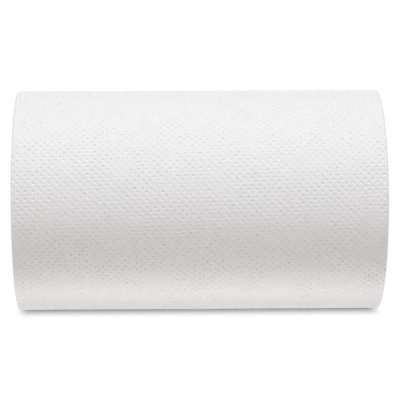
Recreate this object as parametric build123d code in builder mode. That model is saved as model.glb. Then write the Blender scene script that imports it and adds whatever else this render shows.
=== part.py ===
from build123d import *
import math
import os

os.makedirs("parts", exist_ok=True)

# A roll of embossed paper towel, lying on its side, in millimetres.
# The roll's axis runs along X, its front is at -Y, and Z 0 is the surface it lies on.

# The wound web
roll_length = 200.0
roll_diameter = 122.7
flat_spot_width = 12.0
rim_bevel = 0.5

# The paperboard core that the web is wound on
core_bore_diameter = 49.0
core_wall = 1.5
core_glue_gap = 0.0

# The last turn, whose free end stands a little off the roll at the back
sheet_caliper = 0.35
tail_root_angle = -27.0
tail_length = 15.0
tail_free_length = 8.0
tail_curl_radius = 150.0

# The turns that show as one spiral groove on each end of the roll
turn_spacing = 5.0
groove_width = 0.5
groove_depth = 0.4
rim_land = 1.4
core_land = 1.6

# Radii of the roll and the core
roll_radius = roll_diameter / 2
core_outer_radius = core_bore_diameter / 2 + core_wall
web_bore_radius = core_outer_radius + core_glue_gap
half_length = roll_length / 2

# One turn drops by the sheet's caliper, half of it where its second half-circle starts
under_turn_radius = roll_radius - sheet_caliper / 2
flat_half_width = flat_spot_width / 2


def direction(angle):
    """Unit vector in the roll's cross-section, measured from +Y towards +Z."""
    return Vector(math.cos(math.radians(angle)), math.sin(math.radians(angle)))


# The two centres that the half-circles of the outermost turn are struck from
far_side_angle = tail_root_angle + 180
centre_shift = direction(far_side_angle) * (sheet_caliper / 2)
under_turn_height = math.sqrt(under_turn_radius**2 - flat_half_width**2)
roll_centre = Vector(0, under_turn_height - centre_shift.Y)
under_centre = roll_centre + centre_shift

# The flat spot is a chord of the second half-circle
flat_dip_angle = math.degrees(math.asin(flat_half_width / under_turn_radius))
flat_start_angle = 270 - flat_dip_angle
flat_end_angle = 270 + flat_dip_angle
turn_end_angle = tail_root_angle + 360

# The free tail: an arc that leaves the roll's surface tangentially
tail_centre = roll_centre + direction(tail_root_angle) * (roll_radius - tail_curl_radius)
tail_inner_radius = tail_curl_radius - sheet_caliper
tail_sweep = math.degrees(tail_length / tail_curl_radius)
tail_tip_angle = tail_root_angle - tail_sweep
fixed_length = tail_length - tail_free_length
fixed_sweep = math.degrees(fixed_length / tail_curl_radius)
crevice_angle = tail_root_angle - fixed_sweep
under_crevice_sweep = math.degrees(fixed_length / under_turn_radius)

# Places of the tail's corners
tail_root = roll_centre + direction(tail_root_angle) * roll_radius
step_foot = roll_centre + direction(tail_root_angle) * (roll_radius - sheet_caliper)
tip_outer = tail_centre + direction(tail_tip_angle) * tail_curl_radius
tip_inner = tail_centre + direction(tail_tip_angle) * tail_inner_radius
crevice_outer = tail_centre + direction(crevice_angle) * tail_inner_radius
under_crevice_angle = turn_end_angle - under_crevice_sweep
crevice_foot = under_centre + direction(under_crevice_angle) * under_turn_radius

# The spiral groove winds in from the rim to the core, one half-circle at a time
half_pitch = turn_spacing / 2
groove_outer_radius = roll_radius - rim_land
groove_reach = groove_outer_radius - groove_width - web_bore_radius - core_land
half_turn_count = int(groove_reach / half_pitch)
groove_shift = direction(far_side_angle) * half_pitch


def groove_half_turn(index, inset):
    """Centre, radius and start angle of one half-circle of the groove's edge."""
    centre = roll_centre + groove_shift * (index % 2)
    radius = groove_outer_radius - inset - index * half_pitch
    start = tail_root_angle + 180 * (index % 2)
    return centre, radius, start


def groove_point(index, inset):
    """Where one half-circle of the groove's edge starts."""
    centre, radius, start = groove_half_turn(index, inset)
    return centre + direction(start) * radius


# The wound web: all its turns are one solid
with BuildPart() as towel_web:
    # Spiral outline of the outermost turn, with the flat spot that it lies on
    with BuildSketch(Plane.YZ.offset(-half_length)):
        with BuildLine():
            CenterArc(roll_centre, roll_radius, tail_root_angle, 180)
            CenterArc(under_centre, under_turn_radius, far_side_angle, flat_start_angle - far_side_angle)
            Line(
                under_centre + direction(flat_start_angle) * under_turn_radius,
                under_centre + direction(flat_end_angle) * under_turn_radius,
            )
            CenterArc(under_centre, under_turn_radius, flat_end_angle, turn_end_angle - flat_end_angle)
            Line(step_foot, tail_root)
        make_face()
    extrude(amount=roll_length)

    # Bevelled rim round both ends, where the cut edges of the outer turns are worn soft
    with BuildSketch(Plane.XY.offset(roll_centre.Y)):
        with BuildLine():
            Polyline(
                (half_length - 2 * rim_bevel, roll_radius + rim_bevel),
                (half_length + rim_bevel, roll_radius - 2 * rim_bevel),
                (half_length + rim_bevel, roll_radius + rim_bevel),
                close=True,
            )
        make_face()
        mirror(about=Plane.YZ)
    revolve(axis=Axis((0, 0, roll_centre.Y), (1, 0, 0)), revolution_arc=360, mode=Mode.SUBTRACT)

    # Free end of the last turn, with a real gap under it
    with BuildSketch(Plane.YZ.offset(-half_length)):
        with BuildLine():
            CenterArc(tail_centre, tail_curl_radius, tail_tip_angle, tail_sweep)
            Line(tip_outer, tip_inner)
            CenterArc(tail_centre, tail_inner_radius, tail_tip_angle, tail_sweep - fixed_sweep)
            Line(crevice_outer, crevice_foot)
            CenterArc(under_centre, under_turn_radius, under_crevice_angle, under_crevice_sweep)
            Line(step_foot, tail_root)
        make_face()
    extrude(amount=roll_length)

    # Spiral groove on each end
    for end_plane, outward in (
        (Plane.YZ.offset(half_length - groove_depth), 1),
        (Plane.YZ.offset(groove_depth - half_length), -1),
    ):
        with BuildSketch(end_plane):
            with BuildLine():
                for index in range(half_turn_count):
                    for inset in (0, groove_width):
                        centre, radius, start = groove_half_turn(index, inset)
                        CenterArc(centre, radius, start, 180)
                for index in (0, half_turn_count):
                    Line(groove_point(index, 0), groove_point(index, groove_width))
            make_face()
        extrude(amount=2 * groove_depth * outward, mode=Mode.SUBTRACT)

    # Bore for the core
    with BuildSketch(Plane.YZ.offset(-half_length)):
        with Locations(roll_centre):
            Circle(web_bore_radius)
    extrude(amount=roll_length, mode=Mode.SUBTRACT)
towel_web.part.label = "towel_web"
export_step(towel_web.part, "parts/towel_web.step")

# The paperboard core, glued inside the first turn and cut off flush with it
with BuildPart() as core_tube:
    with BuildSketch(Plane.YZ.offset(-half_length)):
        with Locations(roll_centre):
            Circle(core_outer_radius)
            Circle(core_outer_radius - core_wall, mode=Mode.SUBTRACT)
    extrude(amount=roll_length)
core_tube.part.label = "core_tube"
export_step(core_tube.part, "parts/core_tube.step")
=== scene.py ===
import math
import random

import bmesh
import bpy
from mathutils import Matrix, Vector, noise


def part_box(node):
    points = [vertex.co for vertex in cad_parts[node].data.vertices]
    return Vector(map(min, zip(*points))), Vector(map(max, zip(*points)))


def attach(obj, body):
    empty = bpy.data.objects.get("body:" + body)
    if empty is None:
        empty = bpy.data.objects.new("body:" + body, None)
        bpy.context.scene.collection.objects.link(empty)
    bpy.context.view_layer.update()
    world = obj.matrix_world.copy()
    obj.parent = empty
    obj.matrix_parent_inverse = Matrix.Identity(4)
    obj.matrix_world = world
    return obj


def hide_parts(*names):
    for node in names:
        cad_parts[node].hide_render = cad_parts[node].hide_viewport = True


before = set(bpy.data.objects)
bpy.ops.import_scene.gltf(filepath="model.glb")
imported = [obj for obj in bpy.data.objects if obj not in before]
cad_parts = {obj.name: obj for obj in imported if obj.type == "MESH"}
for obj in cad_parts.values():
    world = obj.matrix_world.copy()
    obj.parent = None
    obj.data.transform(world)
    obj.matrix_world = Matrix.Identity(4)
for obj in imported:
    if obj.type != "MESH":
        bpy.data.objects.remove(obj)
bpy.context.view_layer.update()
print("frame loaded:", sorted(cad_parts))

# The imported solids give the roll's size and place, in metres
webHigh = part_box("towel_web")[1]
coreLow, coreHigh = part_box("core_tube")
halfLength = webHigh.x
rollRadius = webHigh.y
boreRadius = coreHigh.y
axisHeight = (coreLow.z + coreHigh.z) / 2
rollCentre = Vector((0, axisHeight))  # in the cross-section, as (y, z)

samePlace = 1e-6  # a point this near to a plane or to another point lies on it
cutReach = 1e-7  # a cut takes a point this near to it as its own

# How the last turn goes round the roll and leaves it
lastTurn = {
    "caliper": 0.00035,  # loose thickness of one embossed sheet
    "rootAngle": math.radians(-27),  # from +Y, where the sheet starts to lift
    "tailLength": 0.015,
    "freeLength": 0.008,
    "curlRadius": 0.150,
    "flatWidth": 0.012,
    "underSteps": 6,  # strips along the tail's underside
}


def unitAt(angle):
    return Vector((math.cos(angle), math.sin(angle)))


def smoothStep(value):
    t = min(max(value, 0.0), 1.0)
    return t * t * (3 - 2 * t)


# Two half-circles, struck from two centres, drop by one sheet in a turn
farAngle = lastTurn["rootAngle"] + math.pi
underRadius = rollRadius - lastTurn["caliper"] / 2
underCentre = rollCentre + unitAt(farAngle) * (lastTurn["caliper"] / 2)
flatDip = math.asin(lastTurn["flatWidth"] / 2 / underRadius)
flatStart = 1.5 * math.pi - flatDip
flatEnd = 1.5 * math.pi + flatDip
tailCentre = rollCentre + unitAt(lastTurn["rootAngle"]) * (rollRadius - lastTurn["curlRadius"])
tailSweep = lastTurn["tailLength"] / lastTurn["curlRadius"]
tipAngle = lastTurn["rootAngle"] - tailSweep
fixedLength = lastTurn["tailLength"] - lastTurn["freeLength"]
creviceAngle = lastTurn["rootAngle"] - fixedLength / lastTurn["curlRadius"]
footAngle = lastTurn["rootAngle"] + 2 * math.pi - fixedLength / underRadius

# The outline from the tail's tip, once round, to the foot of the gap under the tail
outlineSpans = [
    ("arc", tailCentre, lastTurn["curlRadius"], tipAngle, tailSweep),
    ("arc", rollCentre, rollRadius, lastTurn["rootAngle"], math.pi),
    ("arc", underCentre, underRadius, farAngle, flatStart - farAngle),
    ("line", underCentre + unitAt(flatStart) * underRadius, lastTurn["flatWidth"]),
    ("arc", underCentre, underRadius, flatEnd, footAngle - flatEnd),
]


def spanLength(span):
    return span[2] * span[4] if span[0] == "arc" else span[2]


turnLength = sum(spanLength(span) for span in outlineSpans)


def outlineAt(distance):
    for span in outlineSpans:
        if distance <= spanLength(span) or span is outlineSpans[-1]:
            break
        distance -= spanLength(span)
    if span[0] == "line":
        return span[1] + Vector((distance, 0)), Vector((0, -1))
    normal = unitAt(span[3] + distance / span[2])
    return span[1] + normal * span[2], normal


def cutAcross(bm, place, direction, clear):
    everything = bm.verts[:] + bm.edges[:] + bm.faces[:]
    bmesh.ops.bisect_plane(
        bm, geom=everything, dist=cutReach, plane_co=place, plane_no=direction, clear_outer=clear
    )


def chainAt(bm, test):
    return [edge for edge in bm.edges if edge.is_boundary and all(test(v) for v in edge.verts)]


def fillCutEnd(bm, side, radius, segments):
    # Fill one end of a piece, between its open rim and a new circle round the axis
    endMiddle = Vector((side * halfLength, rollCentre.x, rollCentre.y))
    facing = Matrix.Translation(endMiddle) @ Matrix.Rotation(math.pi / 2, 4, "Y")
    made = bmesh.ops.create_circle(
        bm, cap_ends=False, segments=segments, radius=radius, matrix=facing
    )
    circle = list({edge for vert in made["verts"] for edge in vert.link_edges})
    rim = chainAt(bm, lambda v: abs(v.co.x - endMiddle.x) < samePlace)
    filled = bmesh.ops.triangle_fill(
        bm, edges=circle + rim, use_beauty=True, use_dissolve=False, normal=(side, 0, 0)
    )
    for edge in rim:
        edge.smooth = False
    return circle, filled["geom"]


# Outer turns: the embossed sheet that shows

embossed = {
    "pitch": 0.00414,  # between dimples in a row, and between rows that line up
    "lean": math.radians(-1.3),  # the rows aren't quite square to the roll's end
    "spareCells": 4,
    "land": 0.28,  # flat paper round each dimple, as a share of its cell
    "rimRadius": 0.0008,
    "depth": 0.0005,
    "depthSpread": 0.3,  # from dimple to dimple, as a share of the depth
    "patchSpread": 0.7,  # from patch to patch
    "patchScale": 60,
    "patchSlice": 3.1,
    "least": 0.35,  # shares of the depth that no dimple goes past
    "most": 1.35,
    "puff": 0.00004,  # how far the paper between dimples stands up
    "wave": 0.00005,
    "waveSize": 0.045,
    "waveSlice": 0.7,
    "inset": 0.0001,  # keeps the waves inside the solid's outline
    "rimRound": 0.0005,
    "rimLoops": (0.35, 0.75, 1.0),  # extra edge loops on the round, as shares of it
    "endFade": 0.02,  # waves and rim fade out this near the sheet's two cut ends
    "shellDepth": 0.0021,  # from the paper to the hidden wall inside
    "shellSegments": 128,
    "seed": 7,
}


def makeEmbossedSheet(bm):
    # Embossed flat, x across the web and y along it, one square cell round each dimple
    cell = embossed["pitch"] / math.sqrt(2)
    across = (2 * halfLength + turnLength) / math.sqrt(2)
    count = math.ceil(across / cell) + embossed["spareCells"]
    turned = Matrix.Rotation(math.pi / 4 + embossed["lean"], 4, "Z")
    placed = Matrix.Translation((0, turnLength / 2, 0)) @ turned
    bmesh.ops.create_grid(
        bm, x_segments=count, y_segments=count, size=count * cell / 2, matrix=placed
    )
    outside = []
    for face in bm.faces:
        middle = face.calc_center_median()
        if abs(middle.x) > halfLength + cell or not -cell < middle.y < turnLength + cell:
            outside.append(face)
    bmesh.ops.delete(bm, geom=outside, context="FACES")
    cells = list(bm.faces)
    bmesh.ops.inset_individual(
        bm, faces=cells, thickness=cell * embossed["land"], use_even_offset=True
    )
    rims = list({edge for face in cells for edge in face.edges})
    for face in bm.faces:
        face.smooth = True
    bmesh.ops.subdivide_edges(bm, edges=rims, cuts=1, use_grid_fill=True)

    # Press each dimple in, with a round rim, and let the paper between dimples puff up
    cellEdge = 0.49  # reaches from a cell's middle, as shares of the cell
    cellMiddle = 0.01
    dice = random.Random(embossed["seed"])
    flat = placed.inverted()
    depths = {}
    for vert in bm.verts:
        local = flat @ vert.co
        column = math.floor(local.x / cell + count / 2)
        row = math.floor(local.y / cell + count / 2)
        middle = Vector(((column + 0.5 - count / 2) * cell, (row + 0.5 - count / 2) * cell, 0))
        offset = Vector((local.x, local.y, 0)) - middle
        reach = max(abs(offset.x), abs(offset.y)) / cell
        if reach > cellEdge:
            vert.co.z = embossed["puff"]
        elif reach > cellMiddle:
            vert.co = placed @ (middle + offset.normalized() * embossed["rimRadius"])
        else:
            if (column, row) not in depths:
                scale = embossed["patchScale"]
                spot = Vector((vert.co.x * scale, vert.co.y * scale, embossed["patchSlice"]))
                spread = dice.uniform(-1, 1) * embossed["depthSpread"]
                spread += noise.noise(spot) * embossed["patchSpread"]
                share = min(max(1 + spread, embossed["least"]), embossed["most"])
                depths[column, row] = embossed["depth"] * share
            vert.co.z = -depths[column, row]
            for face in vert.link_faces:
                face.smooth = False


def trimSheet(bm):
    # Slit the web to its width and cut it at its free end, then cut loops for the rounded rim
    cuts = [((side * halfLength, 0, 0), (side, 0, 0), True) for side in (-1, 1)]
    cuts += [((0, 0, 0), (0, -1, 0), True), ((0, turnLength, 0), (0, 1, 0), True)]
    for side in (-1, 1):
        for share in embossed["rimLoops"]:
            place = side * (halfLength - embossed["rimRound"] * share)
            cuts.append(((place, 0, 0), (side, 0, 0), False))
    for place, direction, clear in cuts:
        cutAcross(bm, place, direction, clear)

    # Let the sheet wave a little and round its rim off, but keep its two cut ends straight
    size = embossed["waveSize"]
    for vert in bm.verts:
        toCutEnd = min(vert.co.y, turnLength - vert.co.y)
        if toCutEnd < samePlace:
            vert.co.z = 0
            continue
        fade = smoothStep(toCutEnd / embossed["endFade"])
        spot = Vector((vert.co.x / size, vert.co.y / size, embossed["waveSlice"]))
        vert.co.z += fade * (embossed["wave"] * noise.noise(spot) - embossed["inset"])
        past = abs(vert.co.x) - (halfLength - embossed["rimRound"])
        if past > 0:
            kept = math.sqrt(max(embossed["rimRound"] ** 2 - past ** 2, 0))
            vert.co.z -= (embossed["rimRound"] - kept) * fade


def wrapSheet(bm):
    for vert in bm.verts:
        point, normal = outlineAt(vert.co.y)
        section = point + normal * vert.co.z
        vert.co = (vert.co.x, section.x, max(section.y, 0))


def closeOuterTurns(bm, tipVerts, footVerts):
    # Underside of the tail, one strip across the web from its tip to the gap's foot
    tipEdges = chainAt(bm, lambda v: v.index in tipVerts)
    footEdges = chainAt(bm, lambda v: v.index in footVerts)
    innerRadius = lastTurn["curlRadius"] - lastTurn["caliper"]
    steps = lastTurn["underSteps"]
    previous = None
    strips = []
    for step in range(steps + 1):
        angle = tipAngle + (creviceAngle - tipAngle) * step / steps
        place = tailCentre + unitAt(angle) * innerRadius
        pair = [bm.verts.new((side * halfLength, place.x, place.y)) for side in (-1, 1)]
        strips.append(bm.edges.new(pair))
        if previous:
            bm.faces.new((previous[0], previous[1], pair[1], pair[0]))
        previous = pair
    for chain, strip in ((tipEdges, strips[0]), (footEdges, strips[-1])):
        ring = list(chain) + [strip]
        for vert in strip.verts:
            ends = [v for edge in chain for v in edge.verts]
            corner = min(ends, key=lambda v: (v.co - vert.co).length)
            ring.append(bm.edges.new((corner, vert)))
        bmesh.ops.contextual_create(bm, geom=ring)


def closeEnds(bm, radius, segments):
    # A hidden wall inside the outer turns, and a cut end between it and the sheet
    circles = []
    for side in (-1, 1):
        circle, filled = fillCutEnd(bm, side, radius, segments)
        for item in filled:
            if isinstance(item, bmesh.types.BMFace):
                item.material_index = 1
        circles.append(circle)
    bmesh.ops.bridge_loops(bm, edges=circles[0] + circles[1])


def addObject(name, data):
    added = bpy.data.objects.new(name, data)
    bpy.context.scene.collection.objects.link(added)
    return added


def finishPiece(bm, name, materials, node):
    bmesh.ops.recalc_face_normals(bm, faces=bm.faces[:])
    loose = [edge for edge in bm.edges if len(edge.link_faces) != 2]
    triangles = sum(len(face.verts) - 2 for face in bm.faces)
    mesh = bpy.data.meshes.new(name)
    bm.to_mesh(mesh)
    bm.free()
    piece = addObject(name, mesh)
    for material in materials:
        mesh.materials.append(material)
    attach(piece, "root")
    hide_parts(node)
    print(name, "made:", triangles, "triangles,", len(loose), "open edges")


outerBm = bmesh.new()
makeEmbossedSheet(outerBm)
trimSheet(outerBm)
outerBm.verts.index_update()
tipVerts = {v.index for v in outerBm.verts if v.co.y < samePlace}
footVerts = {v.index for v in outerBm.verts if v.co.y > turnLength - samePlace}
wrapSheet(outerBm)
closeOuterTurns(outerBm, tipVerts, footVerts)
closeEnds(outerBm, rollRadius - embossed["shellDepth"], embossed["shellSegments"])


# Inner turns: all the sheet's cut edges that show on the two ends

woundEnds = {
    "gap": 0.00006,  # to the hidden wall of the outer turns
    "rings": 120,
    "segments": 240,
    "spiralPitch": 0.005,
    "grooveStart": 0.0014,
    "grooveWidth": 0.0005,
    "grooveDepth": 0.0004,
    "firstTurn": -0.4,  # no groove further out than this, in turns from its outer end
    "ridge": 0.00012,  # fine ridges, where turns stand a little proud of each other
    "ridgeRound": 1.1,  # how much they change between two turns of the groove
    "ridgeScale": 260,  # and with the distance from the axis
    "ridgeShift": 9,  # makes the two ends differ
    "ridgeFractal": (0.6, 2.2, 4),  # increment, lacunarity and octaves
    "lean": 0.00016,  # broad swells
    "leanRound": 0.8,  # how much they change round the axis
    "leanScale": 90,  # and with the distance from it
    "leanShift": 5,
    "dish": 0.0002,  # about how far the turns lie in from the roll's end
    "least": 0.00001,  # and how far they lie in at least
    "coreLand": 0.0016,
}


def spiralRadius(y, z):
    # Radius from whichever of the two centres this side's half-turns are struck from
    arm = Vector((y, z)) - rollCentre
    across = unitAt(lastTurn["rootAngle"])
    if across.x * arm.y - across.y * arm.x >= 0:
        return arm.length, 0
    return (arm - unitAt(farAngle) * (woundEnds["spiralPitch"] / 2)).length, 1


def endRelief(y, z, side):
    radius, half = spiralRadius(y, z)
    pitch = woundEnds["spiralPitch"]
    outer = rollRadius - woundEnds["grooveStart"] - woundEnds["grooveWidth"] / 2
    turns = (outer - radius) / pitch - half / 2
    away = abs(turns - round(turns)) * pitch
    fromAxis = (Vector((y, z)) - rollCentre).length
    angle = math.atan2(z - rollCentre.y, y)
    inGroove = turns > woundEnds["firstTurn"] and fromAxis > boreRadius + woundEnds["coreLand"]
    groove = 1 - smoothStep(away / woundEnds["grooveWidth"]) if inGroove else 0
    phase = (radius + half * pitch / 2) % pitch / pitch * math.tau
    reach = woundEnds["ridgeRound"]
    deep = fromAxis * woundEnds["ridgeScale"] + side * woundEnds["ridgeShift"]
    spot = Vector((math.cos(phase) * reach, math.sin(phase) * reach, deep))
    lines = noise.fractal(spot, *woundEnds["ridgeFractal"])
    reach = woundEnds["leanRound"]
    deep = fromAxis * woundEnds["leanScale"] + side * woundEnds["leanShift"]
    slow = noise.noise(Vector((math.cos(angle) * reach, math.sin(angle) * reach, deep)))
    lift = woundEnds["ridge"] * lines + woundEnds["lean"] * slow - woundEnds["dish"]
    return min(lift, -woundEnds["least"]) - groove * woundEnds["grooveDepth"]


def makeWoundEnds(bm):
    outer = rollRadius - embossed["shellDepth"] - woundEnds["gap"]
    rings = woundEnds["rings"]
    radii = [outer + (boreRadius - outer) * k / rings for k in range(rings + 1)]
    profile = []
    for side in (1, -1):
        for radius in radii if side == 1 else reversed(radii):
            profile.append(bm.verts.new((side * halfLength, rollCentre.x + radius, rollCentre.y)))
    edges = [bm.edges.new((profile[k], profile[k - 1])) for k in range(len(profile))]
    bmesh.ops.spin(
        bm,
        geom=profile + edges,
        cent=(0, rollCentre.x, rollCentre.y),
        axis=(1, 0, 0),
        dvec=(0, 0, 0),
        angle=math.tau,
        steps=woundEnds["segments"],
        use_merge=True,
        use_duplicate=False,
    )
    for vert in bm.verts:
        side = 1 if vert.co.x > 0 else -1
        vert.co.x += side * endRelief(vert.co.y, vert.co.z, side)
    endwise = 0.3  # less than this of a face's normal along the axis makes it a wall
    for face in bm.faces:
        face.smooth = abs(face.normal.x) > endwise


woundBm = bmesh.new()
makeWoundEnds(woundBm)


# Core: a spiral-wound paperboard tube

coreTube = {
    "wall": 0.0015,
    "stripPitch": 0.085,
    "seamWidth": 0.0009,
    "seamDepth": 0.00022,
    "lap": 0.00003,  # how far one edge of the strip stands into the bore
    "spareTurns": 2,  # of the strip before one end, besides one past the other
    "segments": 96,
    "gap": 0.00002,  # to the web round it
}


def makeCore(bm):
    # The inner ply is one strip, screwed along the tube so that its edges meet in a helical seam
    inner = boreRadius - coreTube["wall"]
    pitch = coreTube["stripPitch"]
    seam = coreTube["seamWidth"]
    spots = (
        (0, -coreTube["seamDepth"]),
        (seam / 2, 0),
        (seam * 2, 0),
        (pitch / 3, 0),
        (pitch * 2 / 3, 0),
        (pitch - seam * 2, 0),
        (pitch - seam / 2, coreTube["lap"]),
        (pitch, -coreTube["seamDepth"]),
    )
    start = -halfLength - coreTube["spareTurns"] * pitch
    profile = [
        bm.verts.new((start + along, 0, rollCentre.y + inner - rise)) for along, rise in spots
    ]
    edges = [bm.edges.new((profile[k], profile[k + 1])) for k in range(len(profile) - 1)]
    turns = math.ceil((2 * halfLength + (coreTube["spareTurns"] + 1) * pitch) / pitch)
    bmesh.ops.spin(
        bm,
        geom=profile + edges,
        cent=(0, rollCentre.x, rollCentre.y),
        axis=(1, 0, 0),
        dvec=(pitch / coreTube["segments"], 0, 0),
        angle=math.tau * turns,
        steps=coreTube["segments"] * turns,
        use_merge=False,
        use_duplicate=False,
    )
    bmesh.ops.remove_doubles(bm, verts=bm.verts[:], dist=samePlace)
    for side in (-1, 1):
        cutAcross(bm, (side * halfLength, 0, 0), (side, 0, 0), True)
    for face in bm.faces:
        face.smooth = True
    circles = []
    outer = boreRadius - coreTube["gap"]
    for side in (-1, 1):
        circle = fillCutEnd(bm, side, outer, coreTube["segments"])[0]
        for edge in circle:
            edge.smooth = False
        circles.append(circle)
    bmesh.ops.bridge_loops(bm, edges=circles[0] + circles[1])


coreBm = bmesh.new()
makeCore(coreBm)


# Materials

paper = {
    "colour": (0.87, 0.87, 0.87, 1),
    "shade": (0.858, 0.857, 0.856, 1),
    "roughness": 0.92,
    "specular": 0.15,
    "mottle": (120, 4, 0.5),  # scale, detail and roughness of each noise
    "mottleRange": (0.3, 0.55),
    "crepe": (780, 3, 0.5),
    "crepeStretch": 0.5,  # wrinkles run along the roll, across the web
    "crepeBump": (0.8, 0.0003),  # strength and height
    "fibre": (2600, 4, 0.6),
    "fibreBump": (0.3, 0.00004),
}


def newMaterial(name):
    material = bpy.data.materials.new(name)
    material.use_nodes = True
    nodes = material.node_tree.nodes
    links = material.node_tree.links
    shader = nodes["Principled BSDF"]
    coords = nodes.new("ShaderNodeTexCoord")
    return material, nodes, links, shader, coords


def noiseNode(nodes, links, source, scale, detail, roughness):
    texture = nodes.new("ShaderNodeTexNoise")
    texture.inputs["Scale"].default_value = scale
    texture.inputs["Detail"].default_value = detail
    texture.inputs["Roughness"].default_value = roughness
    links.new(source, texture.inputs["Vector"])
    return texture.outputs["Fac"]


def mixColours(nodes, links, factor, first, second, low, high):
    ramp = nodes.new("ShaderNodeValToRGB")
    ramp.color_ramp.elements[0].position = low
    ramp.color_ramp.elements[0].color = first
    ramp.color_ramp.elements[1].position = high
    ramp.color_ramp.elements[1].color = second
    links.new(factor, ramp.inputs["Fac"])
    return ramp.outputs["Color"]


def bumpNode(nodes, links, height, strength, distance, normal=None):
    bump = nodes.new("ShaderNodeBump")
    bump.inputs["Strength"].default_value = strength
    bump.inputs["Distance"].default_value = distance
    links.new(height, bump.inputs["Height"])
    if normal:
        links.new(normal, bump.inputs["Normal"])
    return bump.outputs["Normal"]


def finishMaterial(links, shader, colour, normal, look):
    links.new(colour, shader.inputs["Base Color"])
    links.new(normal, shader.inputs["Normal"])
    shader.inputs["Roughness"].default_value = look["roughness"]
    shader.inputs["Specular IOR Level"].default_value = look["specular"]


def vectorMath(nodes, links, operation, source, second=(0, 0, 0)):
    step = nodes.new("ShaderNodeVectorMath")
    step.operation = operation
    links.new(source, step.inputs[0])
    if operation == "LENGTH":
        return step.outputs["Value"]
    step.inputs[1].default_value = second
    return step.outputs[0]


def makePaper():
    material, nodes, links, shader, coords = newMaterial("embossedPaper")
    place = coords.outputs["Object"]
    stretch = nodes.new("ShaderNodeMapping")
    stretch.inputs["Scale"].default_value = (paper["crepeStretch"], 1, 1)
    links.new(place, stretch.inputs["Vector"])
    mottle = noiseNode(nodes, links, place, *paper["mottle"])
    crepe = noiseNode(nodes, links, stretch.outputs["Vector"], *paper["crepe"])
    fibre = noiseNode(nodes, links, place, *paper["fibre"])
    colour = mixColours(
        nodes, links, mottle, paper["shade"], paper["colour"], *paper["mottleRange"]
    )
    lines = bumpNode(nodes, links, crepe, *paper["crepeBump"])
    normal = bumpNode(nodes, links, fibre, *paper["fibreBump"], lines)
    finishMaterial(links, shader, colour, normal, paper)
    return material


cutEdges = {
    "colour": (0.87, 0.87, 0.86, 1),
    "shade": (0.79, 0.785, 0.775, 1),
    "roughness": 0.95,
    "specular": 0.1,
    "turnScale": 1500,  # a few turns together show as one fine ring
    "turnDetail": 3,
    "tufts": (700, 5, 0.6),
    "tuftShare": 0.45,
    "range": (0.35, 0.6),
    "bump": (0.5, 0.00025),
}


def makeCutEdges():
    material, nodes, links, shader, coords = newMaterial("cutPaperEdges")
    place = coords.outputs["Object"]
    axis = (0, rollCentre.x, rollCentre.y)
    fromAxis = vectorMath(nodes, links, "SUBTRACT", place, axis)
    crosswise = vectorMath(nodes, links, "MULTIPLY", fromAxis, (0, 1, 1))
    rings = nodes.new("ShaderNodeTexNoise")
    rings.noise_dimensions = "1D"
    rings.inputs["Scale"].default_value = cutEdges["turnScale"]
    rings.inputs["Detail"].default_value = cutEdges["turnDetail"]
    links.new(vectorMath(nodes, links, "LENGTH", crosswise), rings.inputs["W"])
    tufts = noiseNode(nodes, links, place, *cutEdges["tufts"])
    edges = nodes.new("ShaderNodeMix")
    edges.data_type = "FLOAT"
    edges.inputs["Factor"].default_value = cutEdges["tuftShare"]
    links.new(rings.outputs["Fac"], edges.inputs["A"])
    links.new(tufts, edges.inputs["B"])
    grain = edges.outputs["Result"]
    colour = mixColours(
        nodes, links, grain, cutEdges["shade"], cutEdges["colour"], *cutEdges["range"]
    )
    normal = bumpNode(nodes, links, grain, *cutEdges["bump"])
    finishMaterial(links, shader, colour, normal, cutEdges)
    return material


board = {
    "colour": (0.50, 0.41, 0.31, 1),
    "shade": (0.36, 0.28, 0.20, 1),
    "roughness": 0.85,
    "specular": 0.2,
    "fleck": (1100, 5, 0.65),
    "range": (0.3, 0.65),
    "bump": (0.3, 0.0001),
}


def makeBoard():
    material, nodes, links, shader, coords = newMaterial("coreBoard")
    fleck = noiseNode(nodes, links, coords.outputs["Object"], *board["fleck"])
    colour = mixColours(nodes, links, fleck, board["shade"], board["colour"], *board["range"])
    normal = bumpNode(nodes, links, fleck, *board["bump"])
    finishMaterial(links, shader, colour, normal, board)
    return material


embossedPaper = makePaper()
cutPaperEdges = makeCutEdges()
coreBoard = makeBoard()
print("materials made")
finishPiece(outerBm, "outerTurns", [embossedPaper, cutPaperEdges], "towel_web")
finishPiece(woundBm, "woundTurns", [cutPaperEdges], "towel_web")
finishPiece(coreBm, "woundCore", [coreBoard], "core_tube")


# Floor, background and light

stage = {
    "floorDrop": 0.0001,
    "floorSize": 60.0,
    "bounce": (0.812, 0.772, 0.764, 1),
    "paintedShadeColour": (0.55, 0.55, 0.55, 1),
    "shadowStart": 0.001,  # painted shade on the floor near the roll, over the lamps' real shadow, fades to plain white away from it
    "shadowReach": 0.041,
    "endShade": 0.009,
    "endReach": 0.0028,  # how far the painted shade goes on past the roll's ends
    "ambient": 0.0,
}


def seenByCamera(nodes, links):
    # 1 for what the camera sees, straight or through gloss, and 0 for light on the roll
    rays = nodes.new("ShaderNodeLightPath")
    first = nodes.new("ShaderNodeMath")
    first.operation = "MAXIMUM"
    links.new(rays.outputs["Is Camera Ray"], first.inputs[0])
    links.new(rays.outputs["Is Glossy Ray"], first.inputs[1])
    second = nodes.new("ShaderNodeMath")
    second.operation = "MAXIMUM"
    links.new(first.outputs[0], second.inputs[0])
    links.new(rays.outputs["Is Transmission Ray"], second.inputs[1])
    return second.outputs[0]


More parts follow.
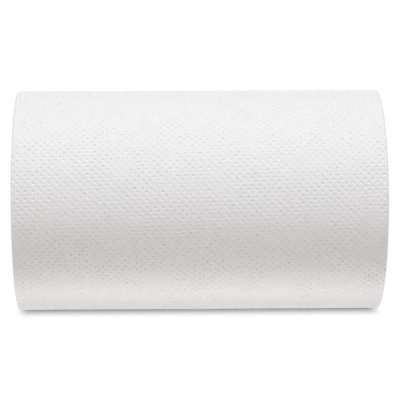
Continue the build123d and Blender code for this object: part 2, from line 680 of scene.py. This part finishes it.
def awayFromRoll(nodes, links, place):
    # Distance along the floor from the line the roll rests on, which counts for more past its
    # ends, so that the painted shade is shorter there
    shadeEnd = halfLength + stage["endReach"] - stage["endShade"]
    size = vectorMath(nodes, links, "ABSOLUTE", place)
    past = vectorMath(nodes, links, "SUBTRACT", size, (shadeEnd, 0, 1))
    kept = vectorMath(nodes, links, "MAXIMUM", past)
    endScale = stage["shadowReach"] / stage["endShade"]
    ends = vectorMath(nodes, links, "MULTIPLY", kept, (endScale, 1, 1))
    reach = vectorMath(nodes, links, "LENGTH", ends)
    fade = nodes.new("ShaderNodeMapRange")
    fade.interpolation_type = "SMOOTHSTEP"
    fade.inputs["From Min"].default_value = stage["shadowStart"]
    fade.inputs["From Max"].default_value = stage["shadowReach"]
    links.new(reach, fade.inputs["Value"])
    return fade.outputs["Result"]


def makeFloor():
    bm = bmesh.new()
    bmesh.ops.create_grid(bm, x_segments=1, y_segments=1, size=stage["floorSize"] / 2)
    bmesh.ops.translate(bm, verts=bm.verts, vec=(0, 0, -stage["floorDrop"]))
    mesh = bpy.data.meshes.new("floor")
    bm.to_mesh(mesh)
    bm.free()
    floor = addObject("floor", mesh)
    material, nodes, links, shader, coords = newMaterial("floorWhiteWithPaintedShade")
    material.cycles.emission_sampling = "NONE"  # the white is for the camera alone
    nodes.remove(shader)
    bounced = nodes.new("ShaderNodeBsdfDiffuse")
    bounced.inputs["Color"].default_value = stage["bounce"]
    # near the roll the camera sees a darker floor colour, which is painted shade and also takes
    # the lamps' real shadow
    near = nodes.new("ShaderNodeBsdfDiffuse")
    near.inputs["Color"].default_value = stage["paintedShadeColour"]
    white = nodes.new("ShaderNodeEmission")
    shown = nodes.new("ShaderNodeMixShader")
    links.new(awayFromRoll(nodes, links, coords.outputs["Object"]), shown.inputs["Fac"])
    links.new(near.outputs["BSDF"], shown.inputs[1])
    links.new(white.outputs["Emission"], shown.inputs[2])
    choice = nodes.new("ShaderNodeMixShader")
    links.new(seenByCamera(nodes, links), choice.inputs["Fac"])
    links.new(bounced.outputs["BSDF"], choice.inputs[1])
    links.new(shown.outputs["Shader"], choice.inputs[2])
    links.new(choice.outputs["Shader"], nodes["Material Output"].inputs["Surface"])
    mesh.materials.append(material)


def makeWorld():
    world = bpy.data.worlds.new("studio")
    bpy.context.scene.world = world
    world.use_nodes = True
    nodes = world.node_tree.nodes
    links = world.node_tree.links
    choice = nodes.new("ShaderNodeMix")
    choice.data_type = "FLOAT"
    choice.inputs["A"].default_value = stage["ambient"]
    choice.inputs["B"].default_value = 1.0
    links.new(seenByCamera(nodes, links), choice.inputs["Factor"])
    back = nodes["Background"]
    back.inputs["Color"].default_value = (1, 1, 1, 1)
    links.new(choice.outputs["Result"], back.inputs["Strength"])


softBoxes = {
    # name: (place, aim, width, height, watts, colour)
    "overhead": ((0, -0.51, 1.15), (0, 0, 0.06), 1.0, 0.5, 13.2, (1, 1, 1)),
    "front": ((0, -1.16, 0.37), (0, 0, 0.06), 1.0, 0.3, 2.0, (1, 1, 1)),
    "behind": ((0, 1.2, 0.9), (0, 0, 0.06), 1.0, 0.5, 2.9, (1, 1, 1)),
    "back": ((0, 1.16, 0.37), (0, 0, 0.06), 1.0, 0.3, 5.0, (1, 1, 1)),
    # more light off the table
    "table": ((0, 0, -0.00005), (0, 0, 1), 0.4, 0.11, 0.0565, (0.975, 1, 1)),
}


def makeSoftBoxes():
    for name, (place, aim, width, height, watts, colour) in softBoxes.items():
        data = bpy.data.lights.new(name, "AREA")
        data.shape = "RECTANGLE"
        data.size = width
        data.size_y = height
        data.energy = watts
        data.color = colour
        lamp = addObject(name, data)
        lamp.location = place
        lamp.rotation_euler = (Vector(aim) - Vector(place)).to_track_quat("-Z", "Y").to_euler()
        lamp.visible_camera = False


view = {
    "azimuth": math.radians(-1.015),
    "elevation": math.radians(4.0),
    "distance": 1.0475,
    "roll": math.radians(0.20),
    "focalPixels": 1866.04,
    "imagePixels": 400,
    "axisPixel": (198.11, 199.98),  # where the roll's middle falls in the photograph
}


def makeCamera():
    data = bpy.data.cameras.new("camera")
    data.sensor_width = 36
    data.lens = view["focalPixels"] * data.sensor_width / view["imagePixels"]
    middle = view["imagePixels"] / 2
    data.shift_x = (middle - view["axisPixel"][0]) / view["imagePixels"]
    data.shift_y = (view["axisPixel"][1] - middle) / view["imagePixels"]
    camera = addObject("camera", data)
    target = Vector((0, rollCentre.x, rollCentre.y))
    flatReach = math.cos(view["elevation"])
    toCamera = Vector(
        (
            math.sin(view["azimuth"]) * flatReach,
            -math.cos(view["azimuth"]) * flatReach,
            math.sin(view["elevation"]),
        )
    )
    camera.location = target + toCamera * view["distance"]
    aimed = (-toCamera).to_track_quat("-Z", "Y").to_matrix()
    camera.rotation_euler = (aimed @ Matrix.Rotation(-view["roll"], 3, "Z")).to_euler()
    bpy.context.scene.camera = camera


makeFloor()
makeWorld()
makeSoftBoxes()
makeCamera()
bpy.context.scene.view_settings.view_transform = "Standard"
print("stage, light and camera made")
